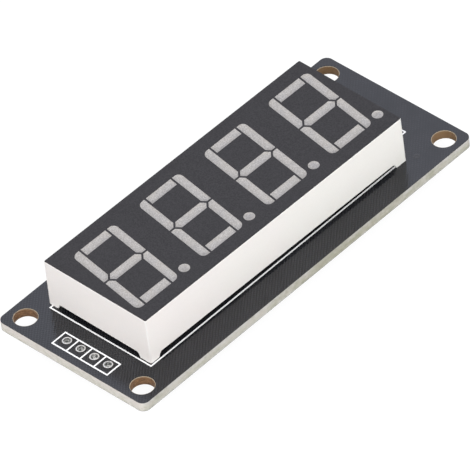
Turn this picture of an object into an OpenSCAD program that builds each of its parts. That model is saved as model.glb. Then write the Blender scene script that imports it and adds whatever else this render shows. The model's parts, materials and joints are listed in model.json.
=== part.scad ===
/* [Board] */
// Width of the board's strip left of the display
left_strip = 6.56; // [5.9:0.01:9]
// Width of the board's strip right of the display
right_strip = 8.84; // [8.6:0.01:12]
// Width of the board's strip below the display
lower_strip = 4.3; // [3.9:0.05:8]
// Width of the board's strip above the display
upper_strip = 3.7; // [3.6:0.05:8]
// Thickness of the board over both solder masks
board_t = 1.5; // [1:0.1:2.4]
// Radius of the board's corners
board_corner_r = 1.1; // [0.3:0.1:1.5]
// Distance of each mounting hole's centre from the two nearest board edges
mount_margin = 2.75; // [2.4:0.05:3]
// Diameter of the mounting holes
mount_hole_d = 3.4; // [2.6:0.1:3.8]
// Bare ring that the solder mask leaves round a mounting hole
mount_mask_gap = 0.06; // [0.05:0.01:0.3]
// Thickness of each solder mask
mask_t = 0.04; // [0.02:0.01:0.05]

/* [Legend] */
// Thickness of the white legend ink
legend_t = 0.02; // [0.01:0.01:0.05]
// Width of a legend line
legend_line = 0.22; // [0.12:0.02:0.3]
// Gap from the display's ends to the middle of its legend outline
outline_gap = 0.14; // [0.1:0.02:0.4]
// Reach of the long walls over the middle of the legend outline
outline_overlap = 0.25; // [0:0.01:0.3]
// Shift of the legend outline from the display's middle, along the board
outline_shift = -0.28; // [-0.4:0.01:0.2]
// Shift of the legend outline from the display's middle, across the board
outline_shift_y = -0.2; // [-0.4:0.01:0.2]
// Width of the legend box round the header holes
header_box_w = 2.58; // [2.4:0.02:2.8]
// Shift of the legend box from the holes towards the board's end
header_box_shift = 0.25; // [0:0.05:0.3]
// Gap from the lands of a part on the underside to its legend line
legend_clear = 0.3; // [0.2:0.05:0.5]

/* [Header holes] */
// Pitch of the four header holes
header_pitch = 2.54; // [2.3:0.01:2.8]
// Distance of the left row of header holes from its end of the board
left_header_margin = 2.85; // [2.6:0.05:3.2]
// Distance of the right row of header holes from its end of the board
right_header_margin = 6.45; // [5.9:0.05:6.5]
// Offset of both rows' middles from the board's middle, across the board
header_y = -0.6; // [-1:0.05:1]
// Diameter of the finished header holes
header_hole_d = 1.0; // [0.8:0.05:1.1]
// Diameter of the header lands
header_land_d = 1.55; // [1.4:0.05:1.75]

/* [Plating and lands] */
// Thickness of a land over the board core, copper and tin
land_t = 0.06; // [0.06:0.01:0.1]
// Thickness of the plating in a hole
plating_t = 0.05; // [0.03:0.01:0.08]
// Gap between a land and the solder mask round it
mask_gap = 0.05; // [0.03:0.01:0.1]

/* [Display housing] */
// Pitch of the digits
digit_pitch = 12.7; // [11:0.1:15]
// Amount by which the housing is shorter than its digit pitches
housing_relief = 0.4; // [0.2:0.05:0.6]
// Distance of the digits' tops and feet from the housing's long sides
face_margin = 2.475; // [2.1:0.025:3.5]
// Height of the housing from its feet to its face
housing_h = 7.75; // [7.2:0.05:12]
// Draft of each outer wall over the housing's height
housing_draft = 0.06; // [0.05:0.01:0.2]
// Radius of the housing's upright edges
housing_edge_r = 0.3; // [0.25:0.05:0.9]
// Bare chamfer of the housing's edge round the ink on its face
face_edge = 0.05; // [0.05:0.01:0.2]
// Thickness of the housing's walls
wall_t = 1.2; // [0.9:0.05:1.4]
// Height of the slots between the corner feet
slot_h = 0.85; // [0.6:0.05:1.3]
// Mean length of the feet along the long walls
foot_l = 2.1; // [1.5:0.05:2.6]
// Length of each foot along the short walls
foot_w = 1.85; // [1.5:0.05:2.6]
// Shift of the long walls' slots from the middle of the wall
long_slot_shift = -0.2; // [-0.5:0.05:0.5]
// Shift of the short walls' slots from the middle of the wall
slot_shift = 0.45; // [-0.5:0.05:0.5]
// Lean of a foot's inner side over the slot's height
foot_lean = 0.3; // [0:0.05:0.4]
// Radius of the slots' upper corners
slot_r = 0.3; // [0.1:0.05:0.4]
// Turn of the display on its board, in degrees
display_turn = -0.7; // [-0.8:0.02:0.8]

/* [Digits] */
// Height of a digit
digit_h = 14.25; // [12:0.05:18]
// Space between neighbouring digits before their slant
digit_space = 4.6; // [4:0.05:5.4]
// Slant of the digits in degrees
digit_slant = 8; // [0:0.5:10]
// Shift of the digits' middle across the face
digit_y = -0.02; // [-0.3:0.02:0.3]
// Width of the level segments
level_seg_w = 1.45; // [1.1:0.05:1.7]
// Width of the upright segments
upright_seg_w = 1.33; // [1:0.01:1.6]
// Gap between neighbouring segments
seg_gap = 0.32; // [0.25:0.01:0.45]
// Slope in degrees of the mitred ends of the middle segment
mitre_angle = 50; // [40:1:60]
// Radius of the digit's four outer corners
digit_corner_r = 0.9; // [0.4:0.05:1]
// Diameter of the decimal point
dot_d = 1.6; // [1.2:0.05:1.8]
// Distance of the decimal point's middle from the digit's right side before its slant
dot_side = 0.6; // [0.5:0.05:0.9]
// Height of the decimal point's middle above the digit's foot
dot_rise = 0.675; // [0.5:0.025:1]
// Part of a level segment's length that its well keeps at the floor
well_floor_l = 0.46; // [0.3:0.02:1]
// Part of an upright segment's length that its well keeps at the floor
well_floor_h = 0.34; // [0.3:0.02:1]
// Part of a segment's width that its well keeps at the floor
well_floor_w = 0.66; // [0.5:0.02:1]
// Thickness of the dark ink on the face
ink_t = 0.05; // [0.03:0.01:0.1]

/* [Display inside] */
// Height of the potted rear face above the feet
potting_z = 1.8; // [1.4:0.05:2.1]
// Cover of epoxy under the light board
potting_cover = 0.6; // [0.3:0.05:0.8]
// Thickness of the light board
light_board_t = 1; // [0.6:0.05:1.2]
// Gap between the light board and the housing's walls and ribs
light_board_gap = 0.25; // [0.2:0.01:0.3]
// Side of a light chip
chip_side = 0.3; // [0.2:0.02:0.4]
// Thickness of a light chip
chip_t = 0.18; // [0.1:0.02:0.2]

/* [Display pins] */
// Pitch of the display's pins
pin_pitch = 2.54; // [2.2:0.01:3]
// Distance of a pin's middle from the light board's long side
pin_edge = 0.53; // [0.36:0.01:0.8]
// Diameter of a pin
pin_d = 0.5; // [0.4:0.02:0.56]
// Length of a pin below the board
pin_tail = 1.2; // [1:0.05:1.8]
// Diameter of the plated holes for the pins
pin_hole_d = 0.9; // [0.84:0.02:1]
// Diameter of the lands for the pins
pin_land_d = 1.6; // [1.45:0.05:1.8]
// Rim of a pin's land that the solder leaves free
solder_land_rim = 0.05; // [0.02:0.01:0.1]
// Height of the solder fillet on a pin
solder_h = 0.9; // [0.6:0.05:0.95]
// Diameter of the solder fillet's tip
solder_tip_d = 0.84; // [0.8:0.02:0.9]

/* [Driver package] */
// Distance of the driver's middle from the display's middle, along the board
driver_shift = 0.03; // [-0.5:0.01:0.5]
// Distance of the last lead's middle from the end of the driver's body
driver_end = 0.685; // [0.5:0.005:1]
// Width of the driver's body
driver_w = 7.5; // [6.5:0.1:7.8]
// Height of the driver's body
driver_h = 2.3; // [2:0.05:2.7]
// Clearance between the driver's body and the board
driver_lift = 0.12; // [0.08:0.02:0.3]
// Draft of the driver's body above and below its parting line
driver_draft = 0.16; // [0.05:0.01:0.25]
// Pitch of the driver's leads
lead_pitch = 1.27; // [1.1:0.01:1.4]
// Width of a lead
lead_w = 0.42; // [0.3:0.01:0.5]
// Thickness of a lead
lead_t = 0.25; // [0.15:0.01:0.3]
// Reach of a lead from the body's side to its tip
lead_reach = 1.4; // [1.2:0.05:1.6]
// Length of a lead inside the body
lead_grip = 0.35; // [0.2:0.05:0.6]
// Level run of a lead from the body's side to its first bend
lead_shoulder = 0.12; // [0.06:0.02:0.2]
// Radius of a lead's bends at its middle line
lead_bend_r = 0.28; // [0.2:0.01:0.32]
// Steepness of a lead's shank in degrees
lead_slope = 78; // [65:1:84]
// Length of the land under a lead's foot
lead_land_l = 1.4; // [1.1:0.05:1.8]
// Reach of the land past the lead's tip
lead_land_toe = 0.3; // [0.1:0.05:0.5]
// Amount by which the land is wider than its lead
lead_land_extra_w = 0.18; // [0.05:0.01:0.3]
// Radius of the round dimple at the first lead
dimple_r = 0.5; // [0.3:0.05:0.7]
// Depth of the dimple
dimple_depth = 0.08; // [0.04:0.02:0.2]
// Distance of the dimple's middle from the body's nearest sides
dimple_inset = 1.2; // [1:0.05:2]

/* [Chip parts] */
// Length of a chip part
chip_part_l = 1.6; // [1.4:0.05:1.8]
// Width of a chip part
chip_part_w = 0.8; // [0.6:0.05:1]
// Height of a chip capacitor
capacitor_h = 0.8; // [0.5:0.05:1]
// Height of a chip resistor
resistor_h = 0.45; // [0.35:0.05:0.6]
// Length of a chip part's end caps
end_cap_l = 0.35; // [0.2:0.05:0.45]
// Thickness of the end caps
end_cap_t = 0.03; // [0.02:0.01:0.05]
// Pitch of neighbouring chip parts
part_pitch = 2.1; // [1.9:0.05:2.6]
// Gap from the driver's body to the middle of the first filter capacitor
filter_gap = 5.4; // [4:0.1:8]
// Distance of the filter capacitors from the driver's middle, across the board
filter_rise = 2.4; // [0:0.1:4]
// Gap from the driver's body to the middle of the column of four chip parts
column_gap = 12.9; // [8:0.1:14]
// Drop of the column's middle from the driver's middle, across the board
column_drop = 0.25; // [-1:0.05:1]
// Length of a chip part's land
part_land_l = 0.9; // [0.7:0.05:1.1]
// Reach of a land past the end of its chip part
part_land_reach = 0.35; // [0.2:0.05:0.5]
// Amount by which a land is wider than its chip part
part_land_extra_w = 0.14; // [0.05:0.01:0.3]

/* [Hidden] */
digits = 4;
header_count = 4;
pins_per_row = 6;
leads_per_row = 10;
// Overrun of a cut past the face that it goes through
over = 1;
// Sides of round pieces, and steps of the arcs in outlines
round_fn = 48;
corner_steps = 8;
seg_corner_steps = 6;
slot_corner_steps = 3;
bend_steps = 4;
solder_steps = 5;

// Housing
housing_l = digits * digit_pitch - housing_relief;
housing_w = digit_h + 2 * face_margin;
ink_z = housing_h - ink_t;
chamfer_z = ink_z - face_edge;
// Smallest radius that an upright edge keeps at the face
min_edge_r = 0.03;
light_board_z = potting_z + potting_cover;
rib_z = light_board_z + light_board_t + light_board_gap;
cavity_l = housing_l - 2 * wall_t;
cavity_w = housing_w - 2 * wall_t;
slot_side_lean = foot_lean / slot_h;
pin_rows = cavity_w - 2 * (light_board_gap + pin_edge);

// Board, with the display's middle seen from the board's middle
board_l = housing_l + left_strip + right_strip;
board_w = housing_w + lower_strip + upper_strip;
display_x = (left_strip - right_strip) / 2;
display_y = (lower_strip - upper_strip) / 2;
mount_x = board_l / 2 - mount_margin;
mount_y = board_w / 2 - mount_margin;
outline_l = housing_l + 2 * outline_gap;
outline_w = housing_w - 2 * outline_overlap;

// Heights from the board's underside
core_z = mask_t;
core_t = board_t - 2 * mask_t;
land_proud = land_t - mask_t;
seat_z = board_t + legend_t;

// Segments: the middle one is a hexagon whose mitres run beside those of the uprights
digit_w = digit_pitch - digit_space;
half_w = digit_w / 2;
half_h = digit_h / 2;
inner_x = half_w - upright_seg_w;
level_half = inner_x - seg_gap / cos(digit_slant);
middle_half = level_seg_w / 2;
middle_tip = level_half + middle_half / tan(mitre_angle);
mitre_x = middle_tip + seg_gap / sin(mitre_angle);
upright_mitre_y = (mitre_x - inner_x) * tan(mitre_angle);
upright_flat_x = mitre_x - seg_gap / 2 / tan(mitre_angle);
dot_x = half_w + dot_side;
dot_y = digit_y - half_h + dot_rise;

// Driver
driver_x = display_x + driver_shift;
driver_y = display_y;
driver_l = (leads_per_row - 1) * lead_pitch + 2 * driver_end;
lead_span = driver_w + 2 * lead_reach;
lead_z = driver_lift + driver_h / 2;
foot_z = land_proud + lead_t / 2;
shoulder_y = driver_w / 2 + lead_shoulder;

// Chip parts: place and turn of the four capacitors and the two resistors
filter_x = driver_x + driver_l / 2 + filter_gap;
filter_y = driver_y + filter_rise;
column_x = driver_x - driver_l / 2 - column_gap;
column_y = driver_y - column_drop;
capacitors = [
    [filter_x, filter_y, 90], [filter_x + part_pitch, filter_y, 90],
    [column_x, column_y + 1.5 * part_pitch, 0], [column_x, column_y - 1.5 * part_pitch, 0]];
resistors = [for (side = [1, -1]) [column_x, column_y + side * part_pitch / 2, 0]];

segments = ["a", "b", "c", "d", "e", "f", "g"];
pin_count = 2 * pins_per_row;
lead_count = 2 * leads_per_row;

// Points of an arc from one angle to another
function arc(c, r, a0, a1, n) =
    [for (i = [0:n]) let (a = a0 + (a1 - a0) * i / n) [c[0] + r * cos(a), c[1] + r * sin(a)]];

// Outline of a rectangle with round corners, counterclockwise
function round_outline(l, w, r) = concat(
    arc([l / 2 - r, w / 2 - r], r, 0, 90, corner_steps),
    arc([r - l / 2, w / 2 - r], r, 90, 180, corner_steps),
    arc([r - l / 2, r - w / 2], r, 180, 270, corner_steps),
    arc([l / 2 - r, r - w / 2], r, 270, 360, corner_steps));

// Outline of the housing at a height above its feet, less a margin all round
function housing_outline(z, margin = 0) = let (inset = margin + housing_draft * z / housing_h)
    round_outline(housing_l - 2 * inset, housing_w - 2 * inset, max(min_edge_r, housing_edge_r - inset));

// Solid between two outlines with the same number of points
module loft(lower, upper, z0, z1) {
    n = len(lower);
    points = concat([for (p = lower) [p[0], p[1], z0]], [for (p = upper) [p[0], p[1], z1]]);
    sides = [for (i = [0:n - 1]) let (j = (i + 1) % n) each [[i, n + i, n + j], [i, n + j, j]]];
    polyhedron(points, concat([[for (i = [0:n - 1]) i]], [[for (i = [n - 1:-1:0]) n + i]], sides));
}

// Plate with round corners
module round_plate(l, w, t, r) {
    translate([-l / 2, r - w / 2, 0]) cube([l, w - 2 * r, t]);
    translate([r - l / 2, -w / 2, 0]) cube([l - 2 * r, w, t]);
    for (x = [-1, 1], y = [-1, 1])
        translate([x * (l / 2 - r), y * (w / 2 - r), 0]) cylinder(h = t, r = r, $fn = round_fn);
}

// Block centred in X and Y that stands on the XY plane
module slab(l, w, t) {
    translate([-l / 2, -w / 2, 0]) cube([l, w, t]);
}

// Place of a row of header holes along the board, the left one for side -1
function header_x(side) = side * (board_l / 2 - (side < 0 ? left_header_margin : right_header_margin));

module at_mount_holes() {
    for (x = [-1, 1], y = [-1, 1]) translate([x * mount_x, y * mount_y, 0]) children();
}

module at_header(side) {
    for (i = [0:header_count - 1])
        translate([header_x(side), header_y + (i - (header_count - 1) / 2) * header_pitch, 0]) children();
}

module on_display() {
    translate([display_x, display_y, seat_z]) rotate([0, 0, display_turn]) children();
}

module at_pin(i) {
    row = i < pins_per_row ? -1 : 1;
    k = i % pins_per_row;
    translate([(k - (pins_per_row - 1) / 2) * pin_pitch, row * pin_rows / 2, 0]) children();
}

module at_pin_holes() {
    for (i = [0:pin_count - 1]) translate([display_x, display_y, 0]) at_pin(i) children();
}

module under_board(x, y, turn) {
    translate([x, y, 0]) rotate([180, 0, turn]) children();
}

module at_driver_lead(i) {
    side = i < leads_per_row ? 1 : -1;
    k = i % leads_per_row;
    under_board(driver_x, driver_y, 0) rotate([0, 0, side > 0 ? 0 : 180])
        translate([(k - (leads_per_row - 1) / 2) * lead_pitch, 0, 0]) children();
}

// Board
module board_hole(d) {
    translate([0, 0, -over]) cylinder(h = board_t + 2 * over, d = d, $fn = round_fn);
}

module board_holes(mount_gap, header_d, pin_hole) {
    at_mount_holes() board_hole(mount_hole_d + 2 * mount_gap);
    for (side = [-1, 1]) at_header(side) board_hole(header_d);
    at_pin_holes() board_hole(pin_hole);
}

module board_core() {
    color("#b9a888") difference() {
        translate([0, 0, core_z]) round_plate(board_l, board_w, core_t, board_corner_r);
        board_holes(0, header_hole_d + 2 * plating_t, pin_hole_d + 2 * plating_t);
    }
}

module solder_mask(z) {
    difference() {
        translate([0, 0, z]) round_plate(board_l, board_w, mask_t, board_corner_r);
        board_holes(mount_mask_gap, header_land_d + 2 * mask_gap, pin_land_d + 2 * mask_gap);
        if (z == 0) land_openings();
    }
}

module solder_mask_top() { color("#222428") solder_mask(board_t - mask_t); }
module solder_mask_bottom() { color("#222428") solder_mask(0); }

module eyelet(hole_d, land_d) {
    r0 = hole_d / 2;
    r1 = r0 + plating_t;
    r2 = land_d / 2;
    rotate_extrude($fn = round_fn) polygon([
        [r0, -land_proud], [r2, -land_proud], [r2, core_z], [r1, core_z], [r1, core_z + core_t],
        [r2, core_z + core_t], [r2, board_t + land_proud], [r0, board_t + land_proud]]);
}

module header_eyelets(side) { color("#c9c9c4") at_header(side) eyelet(header_hole_d, header_land_d); }
module header_eyelets_left() { header_eyelets(-1); }
module header_eyelets_right() { header_eyelets(1); }
module display_eyelets() { color("#c9c9c4") at_pin_holes() eyelet(pin_hole_d, pin_land_d); }

// Lands for the driver's leads and the chip parts, on the underside
module at_lead_land() {
    for (i = [0:lead_count - 1]) at_driver_lead(i)
        translate([0, lead_span / 2 + lead_land_toe - lead_land_l / 2, 0]) children();
}

module at_part_lands() {
    for (part = concat(capacitors, resistors), side = [-1, 1]) under_board(part[0], part[1], part[2])
        translate([side * (chip_part_l / 2 + part_land_reach - part_land_l / 2), 0, 0]) children();
}

module lands(grow, z0, t) {
    at_lead_land() translate([0, 0, z0])
        slab(lead_w + lead_land_extra_w + 2 * grow, lead_land_l + 2 * grow, t);
    at_part_lands() translate([0, 0, z0])
        slab(part_land_l + 2 * grow, chip_part_w + part_land_extra_w + 2 * grow, t);
}

module land_openings() { lands(mask_gap, -over - mask_t, mask_t + 2 * over); }
module component_lands() { color("#c9c9c4") lands(0, -mask_t, land_t); }

// Legend
module frame_lines(l, w) {
    for (y = [-1, 1]) translate([0, y * w / 2, 0]) slab(l + legend_line, legend_line, legend_t);
    for (x = [-1, 1]) translate([x * l / 2, 0, 0]) slab(legend_line, w + legend_line, legend_t);
}

module header_box(side) {
    box_l = header_count * header_pitch;
    translate([header_x(side) + side * header_box_shift, header_y, 0]) {
        frame_lines(header_box_w, box_l);
        for (i = [1:header_count - 1])
            translate([0, (i - header_count / 2) * header_pitch, 0])
                slab(header_box_w, legend_line, legend_t);
    }
}

module legend_top() {
    color("white") translate([0, 0, board_t]) {
        translate([display_x + outline_shift, display_y + outline_shift_y, 0]) frame_lines(outline_l, outline_w);
        for (side = [-1, 1]) header_box(side);
    }
}

module legend_bottom() {
    part_l = chip_part_l + 2 * part_land_reach + 2 * legend_clear;
    part_w = chip_part_w + part_land_extra_w + 2 * legend_clear;
    color("white") {
        for (side = [-1, 1]) translate([0, 0, -legend_t]) header_box(side);
        for (part = concat(capacitors, resistors))
            under_board(part[0], part[1], part[2]) frame_lines(part_l, part_w);
        under_board(driver_x, driver_y, 0)
            for (x = [-1, 1]) translate([x * (driver_l / 2 + legend_clear), 0, 0])
                slab(legend_line, driver_w, legend_t);
    }
}

// Outlines of the segments before their slant, with the digit's middle at the origin
function level_outline(y) = [
    [level_half, y - middle_half], [level_half, y + middle_half],
    [-level_half, y + middle_half], [-level_half, y - middle_half]];

function middle_outline() = [
    [middle_tip, 0], [level_half, middle_half], [-level_half, middle_half],
    [-middle_tip, 0], [-level_half, -middle_half], [level_half, -middle_half]];

// Upper right segment; the other three uprights are its mirror images
function upright_outline() = concat(
    [[upright_flat_x, seg_gap / 2], [half_w, seg_gap / 2]],
    arc([half_w - digit_corner_r, half_h - digit_corner_r], digit_corner_r, 0, 90, seg_corner_steps),
    [[inner_x, half_h], [inner_x, upright_mitre_y]]);

function flip(points, sx, sy) = let (flipped = [for (p = points) [sx * p[0], sy * p[1]]])
    sx * sy > 0 ? flipped : [for (i = [len(flipped) - 1:-1:0]) flipped[i]];

function segment_outline(s) =
    s == "a" ? level_outline(half_h - middle_half) :
    s == "d" ? level_outline(middle_half - half_h) :
    s == "g" ? middle_outline() :
    s == "b" ? flip(upright_outline(), 1, 1) :
    s == "c" ? flip(upright_outline(), 1, -1) :
    s == "e" ? flip(upright_outline(), -1, -1) : flip(upright_outline(), -1, 1);

// Middle of a segment before its slant
function segment_middle(s) =
    s == "a" ? [0, half_h - middle_half] :
    s == "d" ? [0, middle_half - half_h] :
    s == "g" ? [0, 0] :
    [(s == "b" || s == "c" ? 1 : -1) * (half_w + inner_x) / 2, (s == "b" || s == "f" ? 1 : -1) * half_h / 2];

function is_upright(s) = s == "b" || s == "c" || s == "e" || s == "f";

function shrink(points, c, sx, sy) =
    [for (p = points) [c[0] + sx * (p[0] - c[0]), c[1] + sy * (p[1] - c[1])]];

function slant(points) = [for (p = points) [p[0] + p[1] * tan(digit_slant), p[1] + digit_y]];

function floor_outline(s) = is_upright(s)
    ? shrink(segment_outline(s), segment_middle(s), well_floor_w, well_floor_h)
    : shrink(segment_outline(s), segment_middle(s), well_floor_l, well_floor_w);

module at_digit(i) {
    translate([(i - (digits - 1) / 2) * digit_pitch, 0, 0]) children();
}

module wells() {
    for (i = [0:digits - 1]) at_digit(i) {
        for (s = segments) loft(slant(floor_outline(s)), slant(segment_outline(s)), rib_z, housing_h);
        translate([dot_x, dot_y, rib_z])
            cylinder(h = housing_h - rib_z, d1 = dot_d * well_floor_w, d2 = dot_d, $fn = round_fn);
    }
}

// Housing
module slot_cut(length, depth) {
    half = length / 2;
    low_x = half + slot_side_lean * (slot_h + over);
    high_x = half + slot_side_lean * slot_r;
    translate([0, depth / 2, 0]) rotate([90, 0, 0]) linear_extrude(depth) polygon(concat(
        [[low_x, -over], [-low_x, -over], [-high_x, slot_h - slot_r]],
        arc([slot_r - half, slot_h - slot_r], slot_r, 150, 90, slot_corner_steps),
        arc([half - slot_r, slot_h - slot_r], slot_r, 90, 30, slot_corner_steps),
        [[high_x, slot_h - slot_r]]));
}

module display_shell() {
    color("#eceae6") on_display() difference() {
        union() {
            loft(housing_outline(0), housing_outline(chamfer_z), 0, chamfer_z);
            loft(housing_outline(chamfer_z), housing_outline(ink_z, face_edge), chamfer_z, ink_z);
        }
        translate([0, 0, -over]) slab(cavity_l, cavity_w, rib_z + over);
        translate([long_slot_shift, 0, 0])
            slot_cut(housing_l - 2 * foot_l, housing_w + 2 * over);
        translate([0, slot_shift, 0]) rotate([0, 0, 90])
            slot_cut(housing_w - 2 * foot_w, housing_l + 2 * over);
        wells();
    }
}

module face_ink() {
    color("#46464c") on_display() difference() {
        loft(housing_outline(ink_z, face_edge), housing_outline(housing_h, face_edge), ink_z, housing_h);
        wells();
    }
}

module light_board_body() {
    translate([0, 0, light_board_z])
        slab(cavity_l - 2 * light_board_gap, cavity_w - 2 * light_board_gap, light_board_t);
}

module pin_bodies() {
    for (i = [0:pin_count - 1]) pin_body(i);
}

module pin_body(i) {
    low = -seat_z - pin_tail;
    at_pin(i) translate([0, 0, low])
        cylinder(h = light_board_z + light_board_t - low, d = pin_d, $fn = round_fn);
}

module chips(i) {
    at_digit(i) translate([0, 0, light_board_z + light_board_t]) {
        for (s = segments) let (m = slant([segment_middle(s)])[0])
            translate([m[0], m[1], 0]) slab(chip_side, chip_side, chip_t);
        translate([dot_x, dot_y, 0]) slab(chip_side, chip_side, chip_t);
    }
}

module epoxy_fill() {
    color("#d5d2d0") on_display() difference() {
        union() {
            translate([0, 0, potting_z]) slab(cavity_l, cavity_w, rib_z - potting_z);
            wells();
        }
        light_board_body();
        pin_bodies();
        for (i = [0:digits - 1]) chips(i);
    }
}

module light_board() {
    color("#3f6b45") on_display() difference() {
        light_board_body();
        pin_bodies();
    }
}

module light_chips(i) { color("#b8382c") on_display() chips(i - 1); }
module display_pin(i) { color("#c4c6c8") on_display() pin_body(i - 1); }

// Solder that fills each plated hole round its pin and rises as a hollow cone on the tail
module pin_solder() {
    tip_r = solder_tip_d / 2;
    foot_r = pin_land_d / 2 - solder_land_rim;
    bore_r = pin_hole_d / 2;
    rise = [for (k = [0:solder_steps]) let (t = k / solder_steps)
        [tip_r + (foot_r - tip_r) * pow(1 - t, 2), -land_proud - solder_h * t]];
    color("#b9babb") difference() {
        at_pin_holes() rotate_extrude($fn = round_fn) polygon(concat(
            [[0, board_t], [bore_r, board_t], [bore_r, -land_proud]], rise, [[0, -land_proud - solder_h]]));
        on_display() pin_bodies();
    }
}

// Driver
module lead_bar() {
    ri = lead_bend_r - lead_t / 2;
    ro = lead_bend_r + lead_t / 2;
    drop = lead_z - foot_z - 2 * lead_bend_r * (1 - cos(lead_slope));
    run = drop / tan(lead_slope) + 2 * lead_bend_r * sin(lead_slope);
    c1 = [shoulder_y, lead_z - lead_bend_r];
    c2 = [shoulder_y + run, foot_z + lead_bend_r];
    root_y = driver_w / 2 - lead_grip;
    tip_y = lead_span / 2;
    rotate([90, 0, 90]) translate([0, 0, -lead_w / 2]) linear_extrude(lead_w) polygon(concat(
        [[root_y, lead_z + lead_t / 2]],
        arc(c1, ro, 90, 90 - lead_slope, bend_steps), arc(c2, ri, 270 - lead_slope, 270, bend_steps),
        [[tip_y, foot_z + lead_t / 2], [tip_y, foot_z - lead_t / 2]],
        arc(c2, ro, 270, 270 - lead_slope, bend_steps), arc(c1, ri, 90 - lead_slope, 90, bend_steps),
        [[root_y, lead_z - lead_t / 2]]));
}

module driver_lead(i) { color("#b4b6b8") at_driver_lead(i - 1) lead_bar(); }

module drafted_bar(w, l) {
    flat = w / 2 - driver_draft;
    top = driver_lift + driver_h;
    rotate([90, 0, 90]) translate([0, 0, -l / 2]) linear_extrude(l) polygon([
        [w / 2, lead_z], [flat, top], [-flat, top],
        [-w / 2, lead_z], [-flat, driver_lift], [flat, driver_lift]]);
}

module driver_package() {
    color("#26272a") difference() {
        under_board(driver_x, driver_y, 0) difference() {
            intersection() {
                drafted_bar(driver_w, driver_l + over);
                rotate([0, 0, 90]) drafted_bar(driver_l, driver_w + over);
            }
            translate([dimple_inset - driver_l / 2, dimple_inset - driver_w / 2,
                       driver_lift + driver_h - dimple_depth])
                cylinder(h = over, r = dimple_r, $fn = round_fn);
        }
        for (i = [0:lead_count - 1]) at_driver_lead(i) lead_bar();
    }
}

// Chip parts
module part_body(h) {
    translate([0, 0, land_proud + end_cap_t])
        slab(chip_part_l - 2 * end_cap_t, chip_part_w - 2 * end_cap_t, h - 2 * end_cap_t);
}

module part_ends(h) {
    difference() {
        for (side = [-1, 1]) translate([side * (chip_part_l - end_cap_l) / 2, 0, land_proud])
            slab(end_cap_l, chip_part_w, h);
        part_body(h);
    }
}

module on_place(place) { under_board(place[0], place[1], place[2]) children(); }
module capacitor(i) { color("#a8835c") on_place(capacitors[i - 1]) part_body(capacitor_h); }
module resistor(i) { color("#1c1c1e") on_place(resistors[i - 1]) part_body(resistor_h); }
module capacitor_ends() { color("#c2c4c6") for (place = capacitors) on_place(place) part_ends(capacitor_h); }
module resistor_ends() { color("#c2c4c6") for (place = resistors) on_place(place) part_ends(resistor_h); }

board_core();
solder_mask_top();
solder_mask_bottom();
legend_top();
legend_bottom();
header_eyelets_left();
header_eyelets_right();
display_eyelets();
component_lands();
display_shell();
face_ink();
epoxy_fill();
light_board();
for (i = [1:digits]) light_chips(i);
for (i = [1:pin_count]) display_pin(i);
pin_solder();
driver_package();
for (i = [1:lead_count]) driver_lead(i);
for (i = [1:len(capacitors)]) capacitor(i);
for (i = [1:len(resistors)]) resistor(i);
capacitor_ends();
resistor_ends();
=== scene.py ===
"""Looks of a four digit seven segment display module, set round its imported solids."""
import json
import math

import bpy
from mathutils import Matrix, Vector


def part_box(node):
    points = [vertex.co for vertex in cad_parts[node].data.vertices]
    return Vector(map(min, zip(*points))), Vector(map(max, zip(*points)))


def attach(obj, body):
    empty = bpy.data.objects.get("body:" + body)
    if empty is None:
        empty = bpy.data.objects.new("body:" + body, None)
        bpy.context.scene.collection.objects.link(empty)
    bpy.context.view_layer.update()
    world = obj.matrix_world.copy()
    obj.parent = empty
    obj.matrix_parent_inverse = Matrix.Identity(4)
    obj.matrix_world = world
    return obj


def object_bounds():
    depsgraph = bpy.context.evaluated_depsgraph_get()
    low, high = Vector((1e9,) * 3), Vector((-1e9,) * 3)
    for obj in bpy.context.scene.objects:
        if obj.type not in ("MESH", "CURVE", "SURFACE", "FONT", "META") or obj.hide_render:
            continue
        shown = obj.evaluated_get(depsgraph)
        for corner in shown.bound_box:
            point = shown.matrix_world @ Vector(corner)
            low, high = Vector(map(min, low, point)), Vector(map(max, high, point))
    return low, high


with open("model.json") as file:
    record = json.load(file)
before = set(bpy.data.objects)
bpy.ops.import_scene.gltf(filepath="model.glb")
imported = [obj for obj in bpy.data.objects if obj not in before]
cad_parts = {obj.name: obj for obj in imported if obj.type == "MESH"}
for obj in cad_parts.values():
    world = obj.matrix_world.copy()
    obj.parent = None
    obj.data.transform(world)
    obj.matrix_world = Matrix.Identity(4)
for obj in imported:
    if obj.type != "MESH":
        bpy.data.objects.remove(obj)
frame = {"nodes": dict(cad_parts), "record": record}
cad_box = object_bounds()

MM = 0.001
BODY = "root"
WHITE = (1, 1, 1, 1)

# The display is turned a little on the board
DISPLAY_TURN = math.radians(-0.7)

# The photograph's view: a long lens that looks down from the front left, with a slight roll
FRAME_PX = 470
FOCAL_PX = 9712.3
SENSOR_MM = 36
CAMERA_TARGET = Vector((-1.19, -0.893, 1.5)) * MM
CAMERA_DISTANCE = 1.314
CAMERA_AZIMUTH = -41.99
CAMERA_ELEVATION = 42.931
CAMERA_ROLL = -7.569
CAMERA_CLIP = (0.05, 20)

# Strength of the plain surroundings as they light the part
AMBIENT = 0.5

# The floor: its own glow and the paint that takes the shadow, as it is seen, and its bounce, as it lights
FLOOR_GLOW = 0.93
FLOOR_PAINT = 0.12
FLOOR_BOUNCE = 0.45
FLOOR_REACH = 3.0
FLOOR_GAP = 0.02 * MM


def linear(red, green, blue):
    """Linear colour of an sRGB colour that is given from 0 to 255."""
    def part(value):
        share = value / 255
        return share / 12.92 if share <= 0.04045 else ((share + 0.055) / 1.055) ** 2.4
    return part(red), part(green), part(blue), 1


def box_mm(node):
    low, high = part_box(node)
    return low / MM, high / MM


def middle_mm(node):
    low, high = box_mm(node)
    return (low + high) / 2


def mount(name):
    return next(one for one in frame["record"]["mounts"] if one["name"] == name)


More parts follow.
